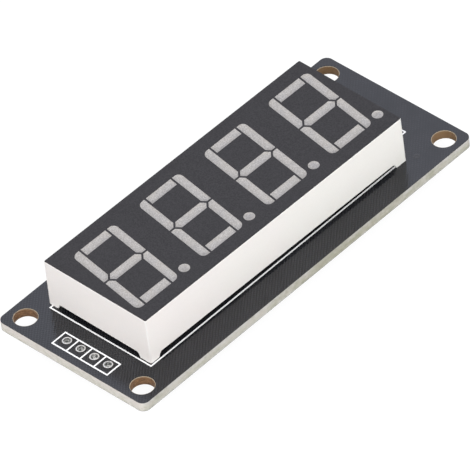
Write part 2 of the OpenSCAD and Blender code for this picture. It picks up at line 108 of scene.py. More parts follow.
def header_row(name):
    """Place along the board of a row of header holes, and the places of its holes across it."""
    row = mount(name)
    x, y = (value / MM for value in row["pos_m"][:2])
    count, pitch = row["dims"]["count"], row["dims"]["spacing_y_mm"]
    return x, [y + (i - (count - 1) / 2) * pitch for i in range(count)]


class Graph:
    """The nodes of one procedural material, with places in the row frame in millimetres."""

    def __init__(self, name, values=None):
        self.material = bpy.data.materials.new(name)
        self.material.use_nodes = True
        self.tree = self.material.node_tree
        self.shader = self.tree.nodes["Principled BSDF"]
        for key, value in (values or {}).items():
            self.put(self.shader.inputs[key], value)
        place = self.node("TexCoord").outputs["Object"]
        self.place = self.scaled(place, (1 / MM, 1 / MM, 1 / MM))
        self.x, self.y, self.z = self.node("SeparateXYZ", {0: self.place}).outputs

    def put(self, socket, value):
        if isinstance(value, bpy.types.NodeSocket):
            self.tree.links.new(value, socket)
        else:
            socket.default_value = value

    def node(self, kind, values=None, **settings):
        made = self.tree.nodes.new("ShaderNode" + kind)
        for name, value in settings.items():
            setattr(made, name, value)
        for key, value in (values or {}).items():
            self.put(made.inputs[key], value)
        return made

    def math(self, operation, *values):
        return self.node("Math", dict(enumerate(values)), operation=operation).outputs[0]

    def vector(self, operation, *values):
        return self.node("VectorMath", dict(enumerate(values)), operation=operation).outputs[0]

    def scaled(self, vector, factors):
        return self.vector("MULTIPLY", vector, factors)

    def distance(self, dx, dy):
        return self.math("SQRT", self.math("ADD", self.math("POWER", dx, 2), self.math("POWER", dy, 2)))

    def noise(self, scale, detail=2.0, roughness=0.5, stretch=None):
        place = self.scaled(self.place, stretch) if stretch else self.place
        values = {"Vector": place, "Scale": scale, "Detail": detail, "Roughness": roughness}
        return self.node("TexNoise", values).outputs["Fac"]

    def between(self, value, low, high, start=0.0, end=1.0):
        """Runs smoothly from start to end while the value runs from low to high."""
        values = {0: value, 1: low, 2: high, 3: start, 4: end}
        return self.node("MapRange", values, interpolation_type="SMOOTHSTEP").outputs[0]

    def uneven(self, scale, start=0.0, end=1.0, spread=0.2, **kind):
        """Noise drawn out to run from start to end: the smaller its spread, the sharper its patches."""
        return self.between(self.noise(scale, **kind), 0.5 - spread, 0.5 + spread, start, end)

    def mix(self, share, first, second, blend="MIX"):
        made = self.node("Mix", data_type="RGBA", blend_type=blend)
        for index, value in ((0, share), (6, first), (7, second)):
            self.put(made.inputs[index], value)
        return made.outputs[2]

    def tinted(self, colour, tint):
        return self.mix(1.0, colour, tint, "MULTIPLY")

    def wave(self, value, pitch):
        """A sine along one axis, with its pitch in millimetres."""
        return self.math("SINE", self.math("MULTIPLY", value, 2 * math.pi / pitch))

    def facing(self):
        """The three parts of the surface's normal."""
        return self.node("SeparateXYZ", {0: self.node("NewGeometry").outputs["Normal"]}).outputs

    def bump(self, height, depth_mm, before=None):
        made = self.node("Bump", {"Height": height, "Distance": depth_mm * MM, "Strength": 1.0})
        if before is not None:
            self.put(made.inputs["Normal"], before)
        return made.outputs[0]

    def sunk(self, reach_mm, tilt):
        """Normals of a surface that sinks from its edges inwards: a bevel's normals turned over."""
        true = self.node("NewGeometry").outputs["Normal"]
        round_edge = self.node("Bevel", {"Radius": reach_mm * MM}, samples=8).outputs[0]
        lean = self.scaled(self.vector("SUBTRACT", true, round_edge), (tilt, tilt, tilt))
        return self.vector("NORMALIZE", self.vector("ADD", lean, true))

    def finish(self, colour, roughness, normal):
        """Puts the three on the shader and gives back the material."""
        for key, value in (("Base Color", colour), ("Roughness", roughness), ("Normal", normal)):
            self.put(self.shader.inputs[key], value)
        return self.material


# Glass cloth under the solder mask: pitch of its two thread directions, and the part of the board along
# which it grows fainter, with its strength at both ends of that
CLOTH_PITCH = (0.62, 0.5)
CLOTH_FADES = (2, 26)
CLOTH_STRENGTH = (0.65, 0.3)


def mask_material(name, dark, light, cloth_depth):
    """Solder mask: glossy lacquer in which the glass cloth shows faintly."""
    look = Graph(name, {"Specular IOR Level": 0.45})
    cloth = look.math("MULTIPLY", look.wave(look.x, CLOTH_PITCH[0]), look.wave(look.y, CLOTH_PITCH[1]))
    threads = look.math("MULTIPLY", cloth, look.between(look.x, *CLOTH_FADES, *CLOTH_STRENGTH))
    share = look.math("ADD", threads, look.uneven(0.35, 0.35, 0.65, detail=3))
    relief = look.bump(cloth, cloth_depth, look.bump(look.noise(9), 0.0016))
    return look.finish(look.mix(share, dark, light), look.uneven(1.6, 0.1, 0.17), relief)


def solder_mask():
    return mask_material("solder_mask", (0.0025, 0.003, 0.0045, 1), (0.0205, 0.021, 0.025, 1), 0.003)


def mask_over_copper():
    return mask_material("mask_over_copper", (0.012, 0.0115, 0.013, 1), (0.024, 0.0235, 0.025, 1), 0.001)


def legend_ink():
    """White printed ink, worn thin in small patches."""
    look = Graph("legend_ink", {"Specular IOR Level": 0.3})
    worn = look.uneven(3.2, spread=0.15, detail=3)
    colour = look.mix(worn, (0.93, 0.93, 0.93, 1), (0.98, 0.98, 0.98, 1))
    return look.finish(colour, look.uneven(8, 0.5, 0.65, detail=1), look.bump(look.noise(14), 0.002))


def metal(name, dark, light, roughness, grain, depth):
    """Tinned or soldered metal: uneven in tint, gloss and level."""
    look = Graph(name, {"Metallic": 1.0})
    colour = look.mix(look.uneven(grain, spread=0.15, detail=3), dark, light)
    relief = look.bump(look.noise(grain * 1.3), depth)
    return look.finish(colour, look.uneven(grain * 1.7, *roughness), relief)


def pin_metal():
    return metal("pin_metal", (0.56, 0.56, 0.55, 1), (0.72, 0.72, 0.71, 1), (0.25, 0.4), 3, 0.004)


def solder():
    return metal("solder", (0.55, 0.55, 0.55, 1), (0.72, 0.72, 0.72, 1), (0.18, 0.34), 2.4, 0.008)


def lead_metal():
    return metal("lead_metal", (0.52, 0.52, 0.51, 1), (0.66, 0.66, 0.65, 1), (0.34, 0.48), 5, 0.004)


def end_cap_metal():
    return metal("end_cap_metal", (0.6, 0.6, 0.6, 1), (0.76, 0.76, 0.75, 1), (0.3, 0.45), 4, 0.006)


# Header lands: the share of a land's radius that the solder mask leaves open, how softly its rim and its
# face end, and how far past the land the rim can lie
LAND_OPEN = 0.89
LAND_RIM_BLUR = 0.03
LAND_FACE_BLUR = 0.08
LAND_PAST = 0.1


def header_rim(look):
    """1 on the outer rim of the header lands, which the solder mask covers, and 0 elsewhere."""
    left, places = header_row("left_header_row")
    right = header_row("right_header_row")[0]
    pitch = places[1] - places[0]
    low, high = box_mm("header_eyelets_left")
    land = (high.x - low.x) / 2
    opening = land * LAND_OPEN
    from_middle = look.math("ABSOLUTE", look.math("SUBTRACT", look.x, (left + right) / 2))
    dx = look.math("SUBTRACT", from_middle, (right - left) / 2)
    turns = look.math("DIVIDE", look.math("SUBTRACT", look.y, places[0] - pitch / 2), pitch)
    dy = look.math("MULTIPLY", look.math("SUBTRACT", look.math("FRACT", turns), 0.5), pitch)
    rim = look.between(look.distance(dx, dy), opening - LAND_RIM_BLUR, opening + LAND_RIM_BLUR)
    return look.math("MULTIPLY", rim, look.math("LESS_THAN", look.math("ABSOLUTE", dx), land + LAND_PAST))


def tinned_plating():
    """Tinned lands, and the walls of their holes: mottled tin, painted darker for the shade inside the holes.
    """
    look = Graph("tinned_plating", {"Metallic": 1.0})
    board = middle_mm("board_core").z
    face = look.mix(look.uneven(4, spread=0.15, detail=3), (0.6, 0.6, 0.585, 1), (0.82, 0.82, 0.805, 1))
    # Partly painted shade: the hole walls run down to near black for the shade inside the holes, in mottled
    # patches
    wall = look.mix(look.uneven(3, spread=0.07, detail=3), (0.1, 0.115, 0.11, 1), (0.72, 0.71, 0.7, 1))
    depth = look.math("ABSOLUTE", look.math("SUBTRACT", look.z, board))
    tin = look.mix(look.between(depth, board - LAND_FACE_BLUR, board), wall, face)
    colour = look.mix(header_rim(look), tin, (0.05, 0.051, 0.056, 1))
    return look.finish(colour, look.uneven(6.8, 0.22, 0.38), look.bump(look.noise(5), 0.006))


# Upright edges of the housing, painted with shade that tones down their highlight: heights between which
# the painted shade grows lighter, and how far both walls have to show in the normal for a place to lie on an
# edge
EDGE_SHADE_EASES = (2.5, 4.5)
EDGE_TURN = (0.08, 0.35)


def upright_edge_painted_shade(look):
    """Painted shade: the rounded upright edges of the moulding are painted a little darker than its walls,
    most at the base, to tone down their highlight.
    """
    facing = look.facing()
    turned = look.math("ABSOLUTE", look.math("MULTIPLY", facing[0], facing[1]))
    # Painted shade: darker low on the edges, lighter higher up
    edge_shade = look.mix(look.between(look.z, *EDGE_SHADE_EASES), (0.88, 0.88, 0.885, 1), (0.92, 0.93, 0.94, 1))
    return look.mix(look.between(turned, *EDGE_TURN), WHITE, edge_shade)


# The housing's tint drifts from rosy to yellowish along this part of the board, in waves this deep
HOUSING_DRIFTS = (-26, 18)
HOUSING_WAVES = 8


def housing_plastic():
    """Moulded off-white plastic with a fine satin grain and slow changes of tint."""
    look = Graph("housing_plastic", {"Specular IOR Level": 0.22, "Subsurface Weight": 0.12,
                                     "Subsurface Radius": (1.0, 0.85, 0.75), "Subsurface Scale": 0.5 * MM})
    drift = look.math("ADD", look.x, look.uneven(0.15, -HOUSING_WAVES, HOUSING_WAVES, spread=0.15))
    tint = look.mix(look.between(drift, *HOUSING_DRIFTS), linear(241, 236, 233), linear(241, 239, 234))
    specked = look.mix(look.uneven(6, 0.0, 0.1, detail=3), tint, linear(222, 216, 211))
    # The painted shade of the upright edges is multiplied into the plastic's colour
    colour = look.tinted(specked, upright_edge_painted_shade(look))
    return look.finish(colour, look.uneven(2.2, 0.5, 0.62), look.bump(look.noise(11, 3), 0.0025))


def face_ink():
    """Screen printed matt ink: a fine dotted grain."""
    look = Graph("face_ink", {"Specular IOR Level": 0.16})
    colour = look.mix(look.uneven(5, detail=3), (0.0235, 0.0222, 0.0238, 1), (0.038, 0.036, 0.038, 1))
    return look.finish(colour, look.uneven(0.8, 0.42, 0.5), look.bump(look.noise(12), 0.002))


# The casting shrinks a little in each window: how far from the rim its skin tilts, and how much
MENISCUS_REACH = 1.0
MENISCUS_TILT = 0.85

# Decimal points: centre of the last one, step from each to the next, and how far from its centre each one
# is painted with shade
LAST_POINT = (22.48, -6.46)
POINT_STEP = 12.7
POINT_SHADE = (0.1, 0.8)


def point_painted_shade(look):
    """Painted shade: the casting is painted greyer towards the middle of the deep, narrow wells of the
    decimal points, where less light comes back out.
    """
    along = look.math("SUBTRACT", look.x, LAST_POINT[0])
    dx = look.math("WRAP", along, POINT_STEP / 2, -POINT_STEP / 2)
    row = look.math("ADD", LAST_POINT[1], look.math("MULTIPLY", along, math.tan(DISPLAY_TURN)))
    away = look.distance(dx, look.math("SUBTRACT", look.y, row))
    return look.mix(look.between(away, *POINT_SHADE), (0.83, 0.83, 0.85, 1), WHITE)


def epoxy():
    """Milky casting: bright specks of the diffusing powder in a grey ground."""
    look = Graph("epoxy", {"Specular IOR Level": 0.4, "Subsurface Weight": 0.15,
                           "Subsurface Radius": (1.0, 1.0, 1.0), "Subsurface Scale": 0.25 * MM})
    ground = look.mix(look.uneven(0.7, spread=0.15), linear(148, 145, 143), linear(155, 150, 144))
    specks = look.between(look.noise(6.5, 3, 0.6), 0.36, 0.66)
    # The decimal points' painted shade is multiplied into the casting's colour
    colour = look.tinted(look.mix(specks, ground, linear(185, 181, 178)), point_painted_shade(look))
    skin = look.sunk(MENISCUS_REACH, MENISCUS_TILT)
    return look.finish(colour, look.uneven(4, 0.38, 0.5), look.bump(look.noise(8), 0.002, skin))


# Long edges of the board: the parts along which they darken, grow lighter again, and lose the darker left
# end; and the heights between which their yellower core begins and ends
EDGE_DARKENS = (-13, 6)
EDGE_CLEARS = (10, 30)
EDGE_LEFT_END = (-31, -22)
CORE_BEGINS = (0.1, 0.4)
CORE_ENDS = (0.85, 1.1)


def long_edge_tint(look):
    """Greyer and greener resin along the long edges, darkest right of the middle, in uneven patches."""
    darker = look.between(look.x, *EDGE_DARKENS, -0.05, 0.9)
    slow = look.math("SUBTRACT", darker, look.between(look.x, *EDGE_CLEARS, 0, 0.6))
    slow = look.math("ADD", slow, look.between(look.x, *EDGE_LEFT_END, 0.3, 0))
    patches = look.uneven(0.42, -0.3, 0.3, 0.14, detail=3, roughness=0.6, stretch=(1, 1, 1.6))
    threads = look.uneven(1.5, -0.2, 0.2, 0.14, detail=3, roughness=0.6, stretch=(1, 1, 0.8))
    share = look.math("ADD", slow, look.math("ADD", patches, threads))
    tint = look.mix(share, (0.82, 0.85, 0.86, 1), (0.6, 0.625, 0.565, 1))
    core = look.math("MULTIPLY", look.between(look.z, *CORE_BEGINS), look.between(look.z, *CORE_ENDS, 1, 0))
    return look.tinted(tint, look.mix(core, WHITE, (0.985, 0.965, 0.925, 1)))


def edge_colour(look, bundles, plies):
    """Sawn resin with paler bundles of glass, brown flecks and faint plies."""
    height = look.math("ADD", look.z, look.uneven(0.5, -0.5, 0.5, detail=3))
    resin = look.mix(look.between(height, 0.3, 1.2), linear(197, 195, 183), linear(216, 208, 202))
    edge = look.mix(bundles, resin, linear(221, 216, 210))
    flecks = look.between(look.noise(2.6, 3, 0.6, (0.6, 0.6, 1.6)), 0.56, 0.74, 0, 0.5)
    edge = look.mix(flecks, edge, linear(180, 170, 150))
    edge = look.mix(look.between(plies, -0.6, 0.6, 0, 0.18), edge, linear(196, 189, 172))
    along_board = look.between(look.math("ABSOLUTE", look.facing()[1]), 0.4, 0.95)
    return look.tinted(edge, look.mix(along_board, WHITE, long_edge_tint(look)))


# Drilled holes: the part of the board along which their walls change tint, and the height of their pale rim
WALL_CHANGES = (10, 20)
WALL_RIM = (1.32, 1.44)


def hole_wall_colour(look):
    """Drilled walls, brown from the scorching of the drill and painted darker for the shade inside the holes,
    with a paler rim under the mask.
    """
    streaks = look.uneven(2.4, spread=0.15, detail=3, roughness=0.6, stretch=(1, 1, 3))
    # Partly painted shade: these walls are much darker than the sawn edges of the same laminate
    wall = look.mix(streaks, linear(96, 70, 50), linear(142, 108, 76))
    wall = look.mix(look.between(look.x, *WALL_CHANGES), wall, linear(131, 104, 74))
    return look.mix(look.between(look.z, *WALL_RIM), wall, linear(184, 168, 146))


# Pitch of the board's plies, and how far round a mounting hole its wall colour reaches
PLY_PITCH = 0.2
WALL_MARGIN = 0.16


def laminate():
    """Glass-fibre board: sawn edges with bundles and plies, and drilled holes."""
    look = Graph("laminate", {"Specular IOR Level": 0.3})
    bundles = look.uneven(1.1, spread=0.16, detail=4, roughness=0.65, stretch=(0.8, 0.8, 2.2))
    plies = look.math("MULTIPLY", look.wave(look.z, PLY_PITCH), look.noise(0.8, 1))
    holes = mount("mounting_holes")["dims"]
    dx = look.math("SUBTRACT", look.math("ABSOLUTE", look.x), holes["spacing_x_mm"] / 2)
    dy = look.math("SUBTRACT", look.math("ABSOLUTE", look.y), holes["spacing_y_mm"] / 2)
    in_hole = look.math("LESS_THAN", look.distance(dx, dy), holes["hole_r_mm"] + WALL_MARGIN)
    # Flat faces of the core, seen only in thin gaps round the lands, are painted dark brown: bare laminate,
    # darkened further by painted shade for those gaps
    flat = look.math("GREATER_THAN", look.math("ABSOLUTE", look.facing()[2]), 0.9)
    outside = look.mix(flat, edge_colour(look, bundles, plies), linear(84, 78, 66))
    colour = look.mix(in_hole, outside, hole_wall_colour(look))
    relief = look.bump(look.math("ADD", bundles, plies), 0.008, look.bump(look.noise(7), 0.005))
    return look.finish(colour, look.between(bundles, 0, 1, 0.55, 0.75), relief)


def driver_plastic():
    """Black moulding compound, matt."""
    look = Graph("driver_plastic", {"Specular IOR Level": 0.4})
    colour = look.mix(look.uneven(7, detail=3), (0.018, 0.018, 0.019, 1), (0.032, 0.032, 0.034, 1))
    return look.finish(colour, look.uneven(1.2, 0.5, 0.62), look.bump(look.noise(10, 3), 0.006))


def capacitor_ceramic():
    look = Graph("capacitor_ceramic", {"Specular IOR Level": 0.45})
    colour = look.mix(look.uneven(3, detail=3), linear(158, 122, 86), linear(178, 142, 104))
    return look.finish(colour, look.uneven(2, 0.35, 0.5), look.bump(look.noise(8), 0.003))


def resistor_coat():
    """Black glaze."""
    look = Graph("resistor_glaze", {"Specular IOR Level": 0.5})
    colour = look.mix(look.uneven(4), (0.012, 0.012, 0.014, 1), (0.024, 0.024, 0.027, 1))
    return look.finish(colour, look.uneven(2, 0.25, 0.36), look.bump(look.noise(9), 0.003))


def light_board():
    """Laminate with green mask."""
    look = Graph("light_board", {"Specular IOR Level": 0.4})
    colour = look.mix(look.uneven(1.2, detail=3), (0.02, 0.075, 0.03, 1), (0.035, 0.11, 0.045, 1))
    return look.finish(colour, look.uneven(2, 0.35, 0.45), look.bump(look.noise(6), 0.004))


def light_chip():
    look = Graph("light_chip", {"Specular IOR Level": 0.6})
    colour = look.mix(look.uneven(6), (0.3, 0.06, 0.045, 1), (0.46, 0.11, 0.08, 1))
    return look.finish(colour, look.uneven(5, 0.22, 0.35, detail=1), look.bump(look.noise(9, 1), 0.002))


# One finish for each of the record's material slots, made by the function of the slot's name
FINISHES = {make.__name__: make() for make in (
    laminate, solder_mask, legend_ink, tinned_plating, housing_plastic, face_ink, epoxy, light_board,
    light_chip, pin_metal, solder, driver_plastic, lead_metal, capacitor_ceramic, resistor_coat,
    end_cap_metal)}
COPPER_LINE = mask_over_copper()


def dress_nodes():
    """Gives every CAD node the finish of its material slot."""
    for part in frame["record"]["subparts"]:
        node = frame["nodes"][part["node"]]
        for slot in node.material_slots:
            slot.material = FINISHES[part["material_slot"]]


# Two faces that meet at more than this angle have a sharp edge between them
SHARP_ANGLE = math.radians(40)


def add_piece(name, vertices, faces, material):
    """A new mesh in millimetres that rides with the part."""
    mesh = bpy.data.meshes.new(name)
    mesh.from_pydata([Vector(v) * MM for v in vertices], [], faces)
    mesh.update()
    mesh.shade_smooth()
    mesh.set_sharp_from_angle(angle=SHARP_ANGLE)
    mesh.materials.append(material)
    piece = bpy.data.objects.new(name, mesh)
    bpy.context.scene.collection.objects.link(piece)
    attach(piece, BODY)


def rounded_rectangle(centre, length, width, radius, steps=3):
    """Points round a rectangle with round corners, counterclockwise."""
    points = []
    for sx, sy, start in ((1, 1, 0), (-1, 1, 90), (-1, -1, 180), (1, -1, 270)):
        for step in range(steps + 1):
            angle = math.radians(start + 90 * step / steps)
            points.append((centre[0] + sx * (length / 2 - radius) + radius * math.cos(angle),
                           centre[1] + sy * (width / 2 - radius) + radius * math.sin(angle)))
    return points


def add_loft(vertices, faces, rings):
    """Joins rings of points, each one above the last on the underside, and closes both ends."""
    first = len(vertices)
    count = len(rings[0])
    for ring in rings:
        vertices.extend(ring)
    last = len(vertices) - count
    for start in range(first, last, count):
        for place in range(count):
            here = start + place
            beside = start + (place + 1) % count
            faces.append((here, here + count, beside + count, beside))
    faces.append(tuple(reversed(range(last, last + count))))
    faces.append(tuple(range(first, first + count)))


# Solder fillets on the underside, from the face of a land, a little inside its outline, to the metal
LAND_FACE = -0.02
LAND_RIM = 0.04
FILLET_STEPS = 5

# At the driver's leads: size, corner and toe of a land; how far the solder stands round the lead's foot,
# its corner there, and its rise
LEAD_LAND = (0.6, 1.4)
LEAD_LAND_CORNER = 0.1
LEAD_LAND_TOE = 0.3
LEAD_WET_OVER = (0.02, 0.1)
LEAD_WET_CORNER = 0.06
LEAD_WET = 0.17

# At the chip parts: size, corner and reach of a land; size, corner and inset of the wetted end; and the
# share of the part's height that is wetted
PART_LAND = (0.9, 0.94)
PART_LAND_CORNER = 0.12
PART_LAND_REACH = 0.35
PART_CAP = (0.34, 0.84)
PART_CAP_CORNER = 0.05
PART_CAP_INSET = 0.12
PART_WET_SHARE = 0.55


def fillet_rings(base, top, rise):
    """Rings of a fillet that starts flat on its land and steepens towards the metal."""
    rings = []
    for step in range(FILLET_STEPS + 1):
        way = step / FILLET_STEPS
        share = 1 - (1 - way) ** 2
        ring = [(x + (top_x - x) * share, y + (top_y - y) * share, LAND_FACE - rise * way * way)
                for (x, y), (top_x, top_y) in zip(base, top)]
        rings.append(ring)
    return rings


def numbered(*kinds):
    """Names of the nodes of some kinds: the kind and a number, such as resistor_1."""
    return [name for name in sorted(frame["nodes"])
            if name.rpartition("_")[0] in kinds and name.rpartition("_")[2].isdigit()]


def add_lead_fillets():
    vertices, faces = [], []
    driver = middle_mm("driver_package")
    foot = LEAD_LAND[1] - 2 * LEAD_LAND_TOE
    for name in numbered("driver_lead"):
        low, high = box_mm(name)
        x = (low.x + high.x) / 2
        outward = 1 if (low.y + high.y) / 2 > driver.y else -1
        tip = high.y if outward > 0 else low.y
        centre = (x, tip + outward * (LEAD_LAND_TOE - LEAD_LAND[1] / 2))
        base = rounded_rectangle(centre, LEAD_LAND[0] - LAND_RIM, LEAD_LAND[1] - LAND_RIM, LEAD_LAND_CORNER)
        top = rounded_rectangle(centre, high.x - low.x + LEAD_WET_OVER[0], foot + LEAD_WET_OVER[1],
                                LEAD_WET_CORNER)
        add_loft(vertices, faces, fillet_rings(base, top, LEAD_WET))
    add_piece("lead_fillets", vertices, faces, FINISHES["solder"])


def end_rectangle(middle, along_x, away, size, corner):
    """A rounded rectangle at one end of a chip part that lies along x or along y."""
    if along_x:
        return rounded_rectangle((middle.x + away, middle.y), size[0], size[1], corner)
    return rounded_rectangle((middle.x, middle.y + away), size[1], size[0], corner)


def add_part_fillets():
    vertices, faces = [], []
    land_size = (PART_LAND[0] - LAND_RIM, PART_LAND[1] - LAND_RIM)
    for name in numbered("capacitor", "resistor"):
        low, high = box_mm(name)
        size = high - low
        middle = (low + high) / 2
        along_x = size.x > size.y
        half = max(size.x, size.y) / 2
        for side in (-1, 1):
            land = side * (half + PART_LAND_REACH - PART_LAND[0] / 2)
            cap = side * (half - PART_CAP_INSET)
            base = end_rectangle(middle, along_x, land, land_size, PART_LAND_CORNER)
            top = end_rectangle(middle, along_x, cap, PART_CAP, PART_CAP_CORNER)
            add_loft(vertices, faces, fillet_rings(base, top, PART_WET_SHARE * size.z))
    add_piece("part_fillets", vertices, faces, FINISHES["solder"])


# Copper lines under the mask on the underside: offset and height of each point of their section
LINE_WIDTH = 0.32
LINE_SLOPE = 0.05
LINE_RISE = 0.018
LINE_SECTION = ((-LINE_WIDTH / 2, 0), (-LINE_WIDTH / 2 + LINE_SLOPE, LINE_RISE),
                (LINE_WIDTH / 2 - LINE_SLOPE, LINE_RISE), (LINE_WIDTH / 2, 0))

# Covered via holes: a low ring round a dimple, as shares of the radius and of a line's rise
VIA_RADIUS = 0.34
VIA_PROFILE = ((1, 0), (0.85, 1), (0.6, 1.2), (0.35, 0.33), (0.12, 0.11))
VIA_SIDES = 20

# The one covered via hole that shows on the top
TOP_VIA = (25.3, -10.2)
TOP_VIA_RADIUS = 0.5


def across(along):
    return Vector((-along.y, along.x))


def add_line(vertices, faces, path):
    """A raised line with sloped sides and mitred corners along a path on the underside."""
    points = [Vector(p) for p in path]
    first = len(vertices)
    count = len(LINE_SECTION)
    for i, point in enumerate(points):
        before = (point - points[i - 1]).normalized() if i > 0 else None
        after = (points[i + 1] - point).normalized() if i < len(points) - 1 else None
        along = (before + after).normalized() if before and after else before or after
        side = across(along)
        stretch = 1 / max(0.5, side.dot(across(after or before)))
        vertices.extend((*(point + side * stretch * offset), -height) for offset, height in LINE_SECTION)
    last = len(vertices) - count
    for start in range(first, last, count):
        for here in range(start, start + count - 1):
            faces.append((here, here + 1, here + count + 1, here + count))
    faces.append(tuple(reversed(range(first, first + count))))
    faces.append(tuple(range(last, last + count)))


def add_via(vertices, faces, centre, radius=VIA_RADIUS, level=0.0, side=-1):
    """A covered via hole: a low ring with a dimple, on the underside or with side 1 on the top."""
    rings = []
    for share, rise in VIA_PROFILE:
        ring = []
        for step in range(VIA_SIDES):
            angle = -side * 2 * math.pi * step / VIA_SIDES
            ring.append((centre[0] + radius * share * math.cos(angle),
                         centre[1] + radius * share * math.sin(angle), level + side * rise * LINE_RISE))
        rings.append(ring)
    add_loft(vertices, faces, rings)


# Routes of the copper lines. A route has the side of the driver that it leaves, the number of its lead on
# that side, the level at which it runs, from the driver's middle, and the row of its header hole.
PIN_LEADS = (0, 2, 4, 5, 7, 9)
LEFT_ROUTES = ((1, 1, 1.9, 3), (1, 3, 1.2, 2), (-1, 3, -1.2, 1), (-1, 1, -1.9, 0))
RIGHT_ROUTES = ((1, 6, 0.95, 3), (1, 8, 0.35, 2), (-1, 8, -0.35, 1), (-1, 6, -0.95, 0))
FILTER_LEVELS = (0.95, 0.35)

# How far a line runs over a land, stops from the middle of a pin, a chip part and a header hole, and bends
# from the chip parts and from the left and right header holes
LAND_OVER = 0.1
PIN_STOP = 0.25
PART_STOP = 0.95
HOLE_STOP = 0.7
PART_BEND = 3.2
LEFT_BEND = 3.4
RIGHT_BEND = 3
FILTER_STUB = 1.5

# Lines that run from a covered via hole to somewhere under the mask or to another via hole
SPARE_LINES = (((-13.5, 6.4), (-18.6, 6.4), (-21.2, 9), (-26, 9)),
               ((-24.6, -7.2), (-20.2, -7.2), (-18.4, -9), (-10.6, -9), (-10.8, -6.9)),
               ((18.4, -6.6), (16.6, -8.4), (9, -8.4), (7.4, -10)),
               ((15.2, 7.4), (18.2, 7.4), (20.7, 4.9), (21.2, 4.9)))
SPARE_LINES_BETWEEN_VIAS = (SPARE_LINES[1], SPARE_LINES[3])


def driver_leads():
    """Places along the board of the driver's leads on each side, and their toes' distance from its middle."""
    driver = middle_mm("driver_package")
    leads = {-1: [], 1: []}
    toe = 0
    for name in numbered("driver_lead"):
        middle = middle_mm(name)
        leads[1 if middle.y > driver.y else -1].append(middle.x)
        toe = max(toe, box_mm(name)[1].y - driver.y)
    return {side: sorted(places) for side, places in leads.items()}, toe


def pin_lines(driver, leads, toe):
    """Straight out from the driver's leads, then slanting to the display's pins."""
    pins = [middle_mm(name) for name in numbered("display_pin")]
    for side in (-1, 1):
        row = sorted((pin for pin in pins if pin.y * side > driver.y * side), key=lambda pin: pin.x)
        for pin, lead in zip(row, PIN_LEADS):
            x = leads[side][lead]
            bend = pin.y - side * (abs(pin.x - x) + PIN_STOP)
            yield (x, driver.y + side * (toe - LAND_OVER)), (x, bend), (pin.x, pin.y - side * PIN_STOP)


def left_lines(driver, leads, inner):
    """From the driver's leads past its end to the column of chip parts, and on to the left header holes."""
    header_x, holes = header_row("left_header_row")
    column = sorted((middle_mm(name) for name in ("capacitor_3", "resistor_1", "resistor_2", "capacitor_4")),
                    key=lambda part: part.y)
    for side, lead, level, row in LEFT_ROUTES:
        x, y = leads[side][lead], driver.y + level
        part, hole = column[row], holes[row]
        bend = part.x + PART_BEND
        yield ((x, driver.y + side * inner), (x, y), (bend + abs(part.y - y), y), (bend, part.y),
               (part.x + PART_STOP, part.y))
        bend = header_x + LEFT_BEND
        yield ((part.x - PART_STOP, part.y), (bend + abs(hole - part.y), part.y), (bend, hole),
               (header_x + HOLE_STOP, hole))


def right_lines(driver, leads, inner):
    """From the driver's leads past its end to the right header holes."""
    header_x, holes = header_row("right_header_row")
    for side, lead, level, row in RIGHT_ROUTES:
        x, y, hole = leads[side][lead], driver.y + level, holes[row]
        bend = header_x - RIGHT_BEND
        yield ((x, driver.y + side * inner), (x, y), (bend - abs(hole - y), y), (bend, hole),
               (header_x - HOLE_STOP, hole))


def underside_lines():
    """All copper lines of the underside, and its covered via holes."""
    driver = middle_mm("driver_package")
    leads, toe = driver_leads()
    inner = toe - LEAD_LAND[1] + LEAD_LAND_TOE + LAND_OVER
    lines = [*pin_lines(driver, leads, toe), *left_lines(driver, leads, inner),
             *right_lines(driver, leads, inner)]
    vias = []
    for name, level in zip(("capacitor_1", "capacitor_2"), FILTER_LEVELS):
        low, high = box_mm(name)
        x = (low.x + high.x) / 2
        stub_end = (x, high.y + FILTER_STUB)
        lines += [((x, low.y - LAND_OVER), (x, driver.y + level)), ((x, high.y + LAND_OVER), stub_end)]
        vias.append(stub_end)
    vias += [line[0] for line in SPARE_LINES]
    vias += [line[-1] for line in SPARE_LINES_BETWEEN_VIAS]
    return lines + list(SPARE_LINES), [*vias, TOP_VIA]


def add_copper_lines():
    vertices, faces = [], []
    lines, vias = underside_lines()
    for path in lines:
        add_line(vertices, faces, path)
    for centre in vias:
        add_via(vertices, faces, centre)
    add_piece("copper_lines_underside", vertices, faces, COPPER_LINE)


def add_top_via():
    vertices, faces = [], []
    add_via(vertices, faces, TOP_VIA, TOP_VIA_RADIUS, box_mm("solder_mask_top")[1].z, 1)
    add_piece("covered_via_top", vertices, faces, COPPER_LINE)


# Length of the display's shell at its base
SHELL_LENGTH = 50.4

# The far foot of the left wall reaches further along the wall than the other three. Of its longer part, the
# depth and height, and at its base and its top both ends across the display and its step back from the wall
TOE_DEPTH = 0.95
TOE_HEIGHT = 0.88
TOE_BASE = (7.88, 9.1)
TOE_BASE_INSET = 0.005
TOE_TOP = (7.42, 8.7)
TOE_TOP_INSET = 0.012


def add_foot_toe():
    turn = Matrix.Rotation(DISPLAY_TURN, 3, "Z")
    face_x, face_y, _ = mount("display_face")["pos_m"]
    middle = Vector((face_x, face_y, 0)) / MM
    base = box_mm("display_shell")[0].z
    wall = -SHELL_LENGTH / 2
    vertices = []
    for (near, far), inset, height in ((TOE_BASE, TOE_BASE_INSET, 0), (TOE_TOP, TOE_TOP_INSET, TOE_HEIGHT)):
        outer, inner = wall + inset, wall + TOE_DEPTH
        for x, y in ((outer, near), (inner, near), (inner, far), (outer, far)):
            vertices.append(turn @ Vector((x, y, base + height)) + middle)
    faces = [(3, 2, 1, 0), (4, 5, 6, 7), (0, 1, 5, 4), (1, 2, 6, 5), (2, 3, 7, 6), (3, 0, 4, 7)]
    add_piece("left_wall_foot_toe", vertices, faces, FINISHES["housing_plastic"])


